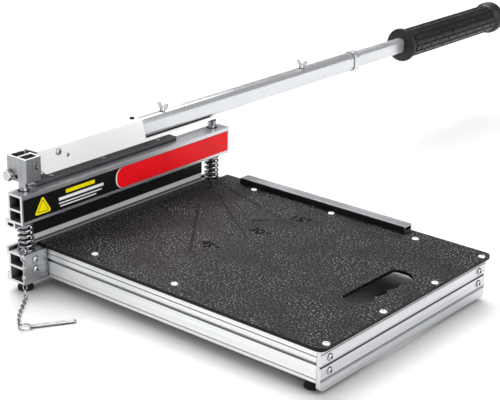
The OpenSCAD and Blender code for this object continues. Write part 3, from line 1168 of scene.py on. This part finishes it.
@dataclass
class AnvilBeam(SubAssembly):
    """The lower beam with its anvil, guide posts, spring seats and springs."""

    post_x: float = -16.0
    post_y: tuple[float, float] = (-20.0, 322.0)
    beam_faces: tuple[float, float] = (0.0, -28.0)
    screw_z: tuple[float, float] = (30.5, 43.5)
    wire_r: float = 1.5
    spring_r: float = 10.4
    spring_low: float = 54.5
    spring_high: float = 92.0
    turns: float = 6.0
    closed_turns: float = 0.85
    # the pitch of the closed end coils, in wire radii
    closed_pitch: float = 2.15
    # the end coils' height, which doesn't stretch
    still: float = 1.5

    def build(self) -> None:
        """Builds and dresses the anvil beam."""
        self.dress(ANVIL_BEAM, "lower_beam", bevel_mm=0.4)
        self.dress(NYLON, "anvil_pad", "post_cap", bevel_mm=0.3)
        self.dress(GROUND, "guide_post_near", "guide_post_far")
        self.dress(ZINC, "spring_seats", bevel_mm=0.3)
        kind = ButtonScrew(5.1, 2.8, 2.1, 2.45, 5.5, 1.3)
        shape = Shape()
        for z in self.screw_z:
            kind.into(shape, (self.beam_faces[0], self.post_y[0], z), HeadTowards.PLUS_X)
            kind.into(shape, (self.beam_faces[1], self.post_y[1], z), HeadTowards.MINUS_X)
        shape.piece("post_button_screws", self.body, ZINC, ["post_screws"])
        for name, y in zip(("spring_near", "spring_far"), self.post_y):
            self.spring(name, y)

    def spring(self, node: str, y: float) -> None:
        """Makes one return spring with closed ends.

        Args:
            node: the CAD node it stands for.
            y: the post's place along the beam.
        """
        r, wire = self.spring_r - self.wire_r, self.wire_r
        low, high = self.spring_low + wire, self.spring_high - wire
        closed, steps = self.closed_turns, 28
        pitch = self.closed_pitch * wire
        path = []
        for i in range(int(self.turns * steps) + 1):
            t = i / steps
            live = (t - closed) / (self.turns - 2 * closed)
            rise = min(t, closed) * pitch + max(0.0, t - (self.turns - closed)) * pitch
            span = high - low - 2 * closed * pitch
            z = low + rise + span * min(1.0, max(0.0, live))
            a = math.tau * t
            path.append((self.post_x + r * math.cos(a), y + r * math.sin(a), z))
        shape = Shape()
        shape.sweep(path, wire, 12)
        obj = shape.piece(f"{node}_coil", self.body, GROUND, [node])
        obj.parent = None
        obj.matrix_world = Matrix.Identity(4)
        del obj["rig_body"]
        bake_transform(obj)


@dataclass
class BladeCarriage(SubAssembly):
    """The upper beam with the blade, its bushes, the press bar and the film labels."""

    body: str = "carriage"
    label_z: tuple[float, float] = (96.0, 124.0)
    label_y: tuple[float, float] = (-35.5, 337.5)
    red_start: float = 119.0
    red_round: float = 12.5
    margin: float = 0.2
    # near end, far end, bottom and top of each plain printed bar; the first is yellow
    bars: tuple[tuple[float, float, float, float], ...] = (
        (33, 82, 115.3, 120.3), (21, 97, 108.4, 112.2), (21, 94, 103.9, 105.5),
        (23, 84, 100.0, 101.6),
    )

    def build(self) -> None:
        """Builds and dresses the carriage."""
        self.dress(ALUMINIUM_Y, "upper_beam", bevel_mm=0.4)
        # the press bar's darker grey is painted shadow from the lever arm
        self.dress(SHADED_PRESS_BAR, "press_bar", bevel_mm=0.4)
        self.dress(BLADE, "blade")
        self.dress(BRONZE, "guide_bushes")
        self.dress(ZINC, "blade_screws", "press_bar_screws")
        self.labels()

    def labels(self) -> None:
        """Makes the plain film: a black strip, a red field with a white border, a yellow sign."""
        (z0, z1), (y0, y1) = self.label_z, self.label_y
        black, red = "label_black_film", "label_red_film"
        strip = [(y0, z0, 1.2), (y1, z0, 1.2), (y1, z1, 1.2), (y0, z1, 1.2)]
        self.film(
            "label_film_black", round_outline(strip, 4), (0.0, 0.26), BLACK_FILM, black,
            ["label_black"],
        )
        far, low, high = y1 - self.margin, z0 + self.margin, z1 - self.margin
        border = self.red_field(far, low, high, 0.0)
        field = self.red_field(far, low, high, 2.0)
        self.film("label_border", border, (0.26, 0.38), WHITE_INK, red)
        self.film("label_film_red", field, (0.38, 0.5), RED_FILM, red, ["label_red"])
        sign = round_outline([(-19.0, 99.5, 2.2), (9.0, 99.5, 2.2), (-5.0, 122.5, 2.2)], 5)
        self.film("label_triangle", sign, (0.26, 0.4), YELLOW_INK, black)
        for number, (start, end, low, high) in enumerate(self.bars):
            corners = [(start, low, 0.6), (end, low, 0.6), (end, high, 0.6), (start, high, 0.6)]
            ink = WHITE_INK if number else YELLOW_INK
            name = f"label_bar_{number + 1}"
            self.film(name, round_outline(corners, 3), (0.26, 0.36), ink, black)
        line = Shape()
        outer = round_outline([(-14.6, 101.9, 1.0), (4.6, 101.9, 1.0), (-5.0, 117.8, 1.0)], 4)
        inner = round_outline([(-13.4, 102.7, 0.6), (3.4, 102.7, 0.6), (-5.0, 116.2, 0.6)], 4)
        section = ((0.4, outer), (0.48, outer), (0.48, inner), (0.4, inner))
        line.loft([[(x, *p) for p in outline] for x, outline in section], closed=True)
        line.piece("label_triangle_line", self.body, BLACK_FILM)

    def film(
        self,
        name: str,
        outline: Sequence[Point2],
        ends: tuple[float, float],
        ink: Finish,
        slot: str,
        nodes: Sequence[str] = (),
    ) -> None:
        """Makes one flat layer of film on the beam's face.

        Args:
            name: the layer's name.
            outline: its outline, along the beam and up.
            ends: its back and front, as heights over the beam's face.
            ink: its finish.
            slot: the record's material slot; not used.
            nodes: the CAD nodes that it stands for.
        """
        layer = Shape()
        layer.slab(outline, *ends, Axis.X)
        layer.piece(name, self.body, ink, nodes)

    def red_field(self, end: float, low: float, high: float, inset: float) -> list[Point2]:
        """Returns the outline of the red field, whose near end is nearly a half circle.

        Args:
            end: its far end along the beam.
            low: its lower edge.
            high: its upper edge.
            inset: how far the near end is drawn in.

        Returns:
            The outline's points, along the beam and up.
        """
        start, r = self.red_start + inset, self.red_round - inset / 2
        return round_outline(
            [(start, low, r), (end, low, 1.0), (end, high, 1.0), (start, high, r)], 8
        )


@dataclass
class HingeBlock(SubAssembly):
    """The end block on the near post, its pins and bolt, and the lock pin on its chain."""

    route: tuple[Point, ...] = (
        (-4, -38, 58), (-2, -40.6, 57), (1, -41.4, 53), (2.5, -41.4, 47), (3, -41.4, 40),
        (3, -41.4, 32), (3, -41.4, 24), (3.5, -41.4, 16), (4, -41.6, 10), (5.5, -42.6, 5),
        (8, -45, 2.8), (12, -50, 2.3), (18, -57, 2.3), (24, -64.5, 2.3), (30, -72, 2.3),
        (36, -79, 2.3), (42, -85, 2.3), (48, -90.5, 2.3), (53, -94.5, 2.3), (57, -97, 2.3),
    )
    bolt_at: Point = (-27.2, -30.0, 149.0)
    bolt_flats: float = 12.0
    ring_centre: Point = (68.0, -98.0, 2.4)
    ring_r: float = 8.0
    ring_wire: float = 0.62
    ring_turns: float = 1.85
    ring_rise: float = 1.3
    pin_turn: float = 58.4
    pin_start: float = 5.3
    link_len: float = 8.4
    link_w: float = 5.2
    link_wire: float = 0.6
    link_tilts: tuple[float, float] = (-48.0, 42.0)
    chain_width: float = 4.4

    def build(self) -> None:
        """Builds and dresses the hinge block and the lock."""
        self.dress(ALUMINIUM_Z, "end_block", bevel_mm=0.4)
        self.dress(ZINC, "block_plug", "chain_anchor")
        self.dress(ZINC, "pivot_pin", bevel_mm=0.25)
        self.stop_bolt()
        self.lock()

    def stop_bolt(self) -> None:
        """Makes the flanged hex bolt on the block's near face."""
        shape = Shape()
        r = self.bolt_flats / math.sqrt(3.0)
        profile = [
            (0.05, -10.0), (2.4, -10.0), (2.45, 0.0), (6.4, 0.0), (6.6, 0.4), (6.5, 1.1),
            (r, 1.5), (r, 6.2), (r * 0.96, 7.1), (5.2, 7.5), (0.05, 7.45),
        ]

        def ring(i: int, angle: float) -> float:
            """Makes the head's rings hexagons."""
            return hex_factor(angle) if i in (6, 7, 8) else 1.0

        shape.lathe(profile, self.bolt_at, HeadTowards.MINUS_Y.value, 36, ring)
        shape.piece("stop_hex_bolt", self.body, ZINC, ["stop_bolt"], 25.0)

    def lock(self) -> None:
        """Makes the chain, its split ring and the lock pin, which lie on the floor."""
        centre = Vector(self.ring_centre)
        ring = Shape()
        r, steps = self.ring_r, 40
        path = []
        for i in range(int(self.ring_turns * steps) + 1):
            a = math.tau * i / steps
            lift = self.ring_rise * (i / (self.ring_turns * steps) - 0.5)
            path.append(centre + Vector((r * math.cos(a), r * math.sin(a), lift)))
        ring.sweep(path, self.ring_wire, 10)
        ring_piece = ring.piece("split_ring", self.body, NICKEL, ["pin_ring"])
        turn = math.radians(self.pin_turn)
        along = Vector((math.cos(turn), math.sin(turn), 0.0))
        pin = Shape()
        profile = [
            (0.05, 0.0), (1.7, 0.0), (2.2, 0.5), (2.25, 1.2), (2.25, 51.4), (2.1, 52.6),
            (1.6, 53.8), (0.9, 54.5), (0.05, 54.7),
        ]
        pin.lathe(profile, centre + along * self.pin_start, along, 28)
        pin_piece = pin.piece("lock_pin_rod", self.body, NICKEL, ["lock_pin"], 50.0)
        self.chain([ring_piece, pin_piece])

    def chain(self, hung: list[bpy.types.Object]) -> None:
        """Makes the linked chain along its route.

        Args:
            hung: the pieces on its end; not used.
        """
        line = smooth_line([Vector(p) for p in self.route], 8)
        length = sum((b - a).length for a, b in zip(line, line[1:]))
        pitch = self.link_len - 4 * self.link_wire + 0.3
        count = int(length / pitch)
        shape = Shape()
        for i in range(count):
            at, way = along_line(line, (i + 0.5) * length / count)
            up = Vector((0.0, 0.0, 1.0)) if abs(way.z) < 0.9 else Vector((0.0, 1.0, 0.0))
            side = way.cross(up).normalized()
            up = side.cross(way).normalized()
            tilt = math.radians(self.link_tilts[i % 2])
            across = side * math.cos(tilt) + up * math.sin(tilt)
            shape.sweep(self.link_loop(at, way, across), self.link_wire, 8, closed=True)
        obj = shape.piece("lock_chain_links", self.body, NICKEL, ["lock_chain"])

    def link_loop(self, at: Vector, way: Vector, across: Vector) -> list[Vector]:
        """Returns the centreline of one oval link.

        Args:
            at: the link's centre.
            way: its long direction.
            across: its wide direction.

        Returns:
            The points, once round.
        """
        r = self.link_w / 2 - self.link_wire
        straight = self.link_len / 2 - self.link_wire - r
        loop = []
        for end in (1.0, -1.0):
            for k in range(9):
                a = math.pi * (k / 8 - 0.5) + (0.0 if end > 0 else math.pi)
                loop.append(
                    at + way * (end * straight + r * math.cos(a)) + across * (r * math.sin(a))
                )
        return loop


def smooth_line(points: Sequence[Vector], steps: int) -> list[Vector]:
    """Runs a smooth curve through points.

    Args:
        points: the points that it passes.
        steps: the parts in each stretch.

    Returns:
        The curve's points.
    """
    out = []
    for i in range(len(points) - 1):
        p0, p1 = points[max(i - 1, 0)], points[i]
        p2, p3 = points[i + 1], points[min(i + 2, len(points) - 1)]
        for k in range(steps):
            t = k / steps
            out.append(
                0.5
                * (
                    2 * p1
                    + (p2 - p0) * t
                    + (2 * p0 - 5 * p1 + 4 * p2 - p3) * t * t
                    + (3 * p1 - p0 - 3 * p2 + p3) * t**3
                )
            )
    out.append(points[-1])
    return out


def along_line(line: Sequence[Vector], distance: float) -> tuple[Vector, Vector]:
    """Finds a place along a line.

    Args:
        line: the line's points.
        distance: how far along it the place is.

    Returns:
        The point and the line's direction there.
    """
    for a, b in zip(line, line[1:]):
        step = (b - a).length
        if distance <= step:
            return a + (b - a) * (distance / step), (b - a).normalized()
        distance -= step
    return line[-1], (line[-1] - line[-2]).normalized()


@dataclass
class Lever(SubAssembly):
    """The lever arm with its cam, rollers and outer tube."""

    body: str = "lever"
    bolt_at: tuple[Point2, Point2] = ((34.0, 166.0), (50.0, 158.0))
    tube_x: float = -24.0
    tube_top: float = 171.8
    # node, body, place along the tube and height of the tip of each wing screw
    wing_screws: tuple[tuple[str, str, float, float], ...] = (
        ("wing_screw_rear", "wing_rear", 232.0, 167.0),
        ("wing_screw_front", "wing_front", 533.0, 169.9),
    )

    def build(self) -> None:
        """Builds and dresses the lever."""
        self.dress(BRIGHT_LEVER, "lever_arm", bevel_mm=0.5)
        self.dress(DRAWN_TUBE, "outer_tube", "tube_collar", bevel_mm=0.3)
        self.dress(BLACK_SCREW, "cam_plate", "arm_set_screw")
        self.dress(ZINC, "roller_axle")
        self.dress(GROUND, "rollers")
        kind = ButtonScrew(4.4, 2.6, 2.1, 2.45, 22.0, 1.3)
        shape = Shape()
        kind.into(shape, (-12.0, *self.bolt_at[0]), HeadTowards.PLUS_X)
        kind = ButtonScrew(4.4, 3.0, 2.1, 2.45, 23.9, 1.3)
        kind.into(shape, (-36.0, *self.bolt_at[1]), HeadTowards.MINUS_X)
        shape.piece("arm_button_bolts", self.body, ZINC, ["arm_bolts"])
        for screw in self.wing_screws:
            self.wing_screw(*screw)

    def wing_screw(self, node: str, body: str, y: float, tip: float) -> None:
        """Makes one wing screw: a shank, a waisted hub and two rounded wings.

        Args:
            node: the CAD node it stands for.
            body: the CAD body it rides on.
            y: its place along the tube.
            tip: the height of its tip.
        """
        x, seat = self.tube_x, self.tube_top
        shape = Shape()
        profile = [
            (0.05, tip), (1.7, tip), (1.95, tip + 0.4), (1.95, seat), (3.9, seat),
            (4.2, seat + 0.6), (3.7, seat + 2.2), (3.2, seat + 4.4), (2.6, seat + 5.5),
            (0.05, seat + 5.7),
        ]
        shape.lathe(profile, (x, y, 0.0), Axis.Z.value, 28)
        for side in (-1.0, 1.0):
            outline = round_outline(
                [
                    (x + side * 1.2, seat + 1.6, 0.3),
                    (x + side * 5.6, seat + 2.8, 1.4),
                    (x + side * 9.5, seat + 7.2, 1.6),
                    (x + side * 8.6, seat + 11.3, 1.6),
                    (x + side * 4.4, seat + 10.4, 1.8),
                    (x + side * 1.8, seat + 5.4, 0.8),
                ],
                5,
            )
            shape.slab(outline, y - 0.95, y + 0.95, Axis.Y)
        shape.piece(f"{node}_wings", body, ZINC, [node], 40.0, 0.25)


@dataclass
class Handle(SubAssembly):
    """The sliding inner tube with the rubber grip."""

    body: str = "handle"
    centre_x: float = -24.0
    centre_z: float = 157.65
    start: float = 796.0
    end: float = 1078.0
    core_r: float = 21.3
    pad_r: float = 23.5
    flange_r: float = 27.0
    near_plain: float = 15.0
    far_plain: float = 19.0
    ring_step: float = 0.8
    rows: int = 16
    blocks: int = 9

    def build(self) -> None:
        """Builds and dresses the handle."""
        self.dress(DRAWN_TUBE, "inner_tube", bevel_mm=0.3)
        self.grip()
        self.cap()

    def pad(self, y: float, angle: float) -> float:
        """Returns how proud the grip stands at a place, from 0 in a groove to 1 on a pad.

        Args:
            y: the place along the grip.
            angle: the place round it.

        Returns:
            The share of the pads' height.
        """
        first, last = self.start + self.near_plain + 1.0, self.end - self.far_plain - 1.0
        if not first <= y <= last:
            return 0.0
        turn = angle / math.tau * self.rows
        lane = math.floor(turn)
        across = abs(turn - lane - 0.5) * 2
        step = (last - first) / self.blocks
        shifted = y - first + (step / 2 if lane % 2 else 0.0)
        length = abs((shifted % step) / step - 0.5) * 2
        edge = min((0.84 - across) / 0.10, (0.93 - length) / 0.05)
        return max(0.0, min(1.0, edge))

    def grip(self) -> None:
        """Makes the rubber grip with rows of pads between two flanges."""
        sides, flange = self.rows * 12, self.flange_r
        near = (
            (0.0, 15.0), (0.0, 25.2), (0.8, 26.4), (2.4, flange), (5.0, flange), (7.0, 26.3),
            (8.8, 24.2), (10.5, 23.0), (13.0, 22.6),
        )
        far = (
            (17.0, 22.6), (14.5, 23.2), (12.5, 24.8), (11.0, 26.3), (9.4, flange), (1.6, flange),
            (0.4, 26.6), (0.1, 15.0),
        )
        stops = [(self.start + offset, r, False) for offset, r in near]
        y = self.start + self.near_plain
        while y < self.end - self.far_plain:
            stops.append((y, self.core_r, True))
            y += self.ring_step
        stops += [(self.end - offset, r, False) for offset, r in far]
        rings = []
        for y, r, padded in stops:
            loop = []
            for k in range(sides):
                a = math.tau * k / sides
                out = r + (self.pad_r - self.core_r) * self.pad(y, a) if padded else r
                loop.append(
                    (self.centre_x + out * math.cos(a), y, self.centre_z + out * math.sin(a))
                )
            rings.append(loop)
        shape = Shape()
        shape.loft(rings)
        shape.piece("rubber_grip", self.body, GRIP_RUBBER, ["grip"], 60.0)

    def cap(self) -> None:
        """Makes the end disc with its round hole and a shallow moulded ring."""
        profile = [
            (26.0, 0.0), (26.4, 0.5), (26.4, 2.9), (25.9, 3.7), (25.0, 4.0), (20.4, 4.0),
            (20.0, 3.7), (19.2, 3.7), (18.8, 4.0), (4.9, 4.0), (4.3, 3.6), (4.1, 2.8),
            (4.0, -5.0), (0.1, -5.2),
        ]
        shape = Shape()
        shape.lathe(profile, (self.centre_x, self.end, self.centre_z), Axis.Y.value, 64)
        shape.piece("grip_end_disc", self.body, GRIP_RUBBER, ["grip_cap"])


@dataclass
class Studio:
    """The floor, three far softboxes, an even sky and the camera."""

    camera_at: Point = (0.9803, -1.5524, 0.7024)
    azimuth: float = 39.58
    elevation: float = 20.69
    roll: float = 1.04
    lens: float = 97.95
    sensor: float = 36.0
    lights: tuple[tuple[str, Point, float, float], ...] = (
        # name, the way towards it, its width in degrees as seen from the object, strength
        ("key_softbox", (-0.55, 0.30, 1.0), 50.0, 2.75),
        ("side_softbox", (1.0, -0.10, 0.55), 60.0, 1.9),
        ("front_softbox", (-0.15, -1.0, 0.45), 60.0, 0.7),
    )
    lamp_distance: float = 3.0
    sky: float = 0.24
    half_floor: float = 9.0

    def build(self) -> None:
        """Builds the studio."""
        self.floor()
        self.light()
        self.camera()

    def floor(self) -> None:
        """Makes the plain pale floor."""
        mesh = bpy.data.meshes.new("floor")
        half = self.half_floor
        mesh.from_pydata(
            [(-half, -half, 0), (half, -half, 0), (half, half, 0), (-half, half, 0)],
            [],
            [(0, 1, 2, 3)],
        )
        mesh.materials.append(PAPER.material())
        obj = bpy.data.objects.new("floor", mesh)
        bpy.context.scene.collection.objects.link(obj)

    def light(self) -> None:
        """Makes the soft boxes and the even sky."""
        world = bpy.data.worlds.new("studio_air")
        bpy.context.scene.world = world
        world.use_nodes = True
        back = world.node_tree.nodes["Background"]
        back.inputs["Color"].default_value = (1.0, 1.0, 1.0, 1.0)
        back.inputs["Strength"].default_value = self.sky
        for name, towards, width, strength in self.lights:
            lamp = bpy.data.lights.new(name, "SUN")
            lamp.angle, lamp.energy = math.radians(width), strength
            obj = bpy.data.objects.new(name, lamp)
            obj.location = Vector(towards) * self.lamp_distance
            obj.rotation_euler = Vector(towards).to_track_quat("Z", "Y").to_euler()
            bpy.context.scene.collection.objects.link(obj)

    def camera(self) -> None:
        """Makes the camera."""
        a, e, r = (math.radians(v) for v in (self.azimuth, self.elevation, self.roll))
        right = Vector((math.cos(a), math.sin(a), 0.0))
        back = Vector((math.sin(a) * math.cos(e), -math.cos(a) * math.cos(e), math.sin(e)))
        up = back.cross(right)
        across = math.cos(r) * right + math.sin(r) * up
        upright = math.cos(r) * up - math.sin(r) * right
        data = bpy.data.cameras.new("camera")
        data.lens, data.sensor_width = self.lens, self.sensor
        data.clip_start, data.clip_end = 0.05, 60.0
        obj = bpy.data.objects.new("camera", data)
        turn = Matrix((across, upright, back)).transposed().to_4x4()
        obj.matrix_world = Matrix.Translation(Vector(self.camera_at)) @ turn
        bpy.context.scene.collection.objects.link(obj)
        scene = bpy.context.scene
        scene.camera = obj
        scene.view_settings.view_transform = "Standard"


def main() -> None:
    """Builds the studio and every sub-assembly."""
    logging.basicConfig(level=logging.INFO, format="%(name)s: %(message)s")
    Studio().build()
    HingeBlock().build()
    Bed().build()
    AnvilBeam().build()
    BladeCarriage().build()
    Lever().build()
    Handle().build()


if __name__ == "__main__":
    main()
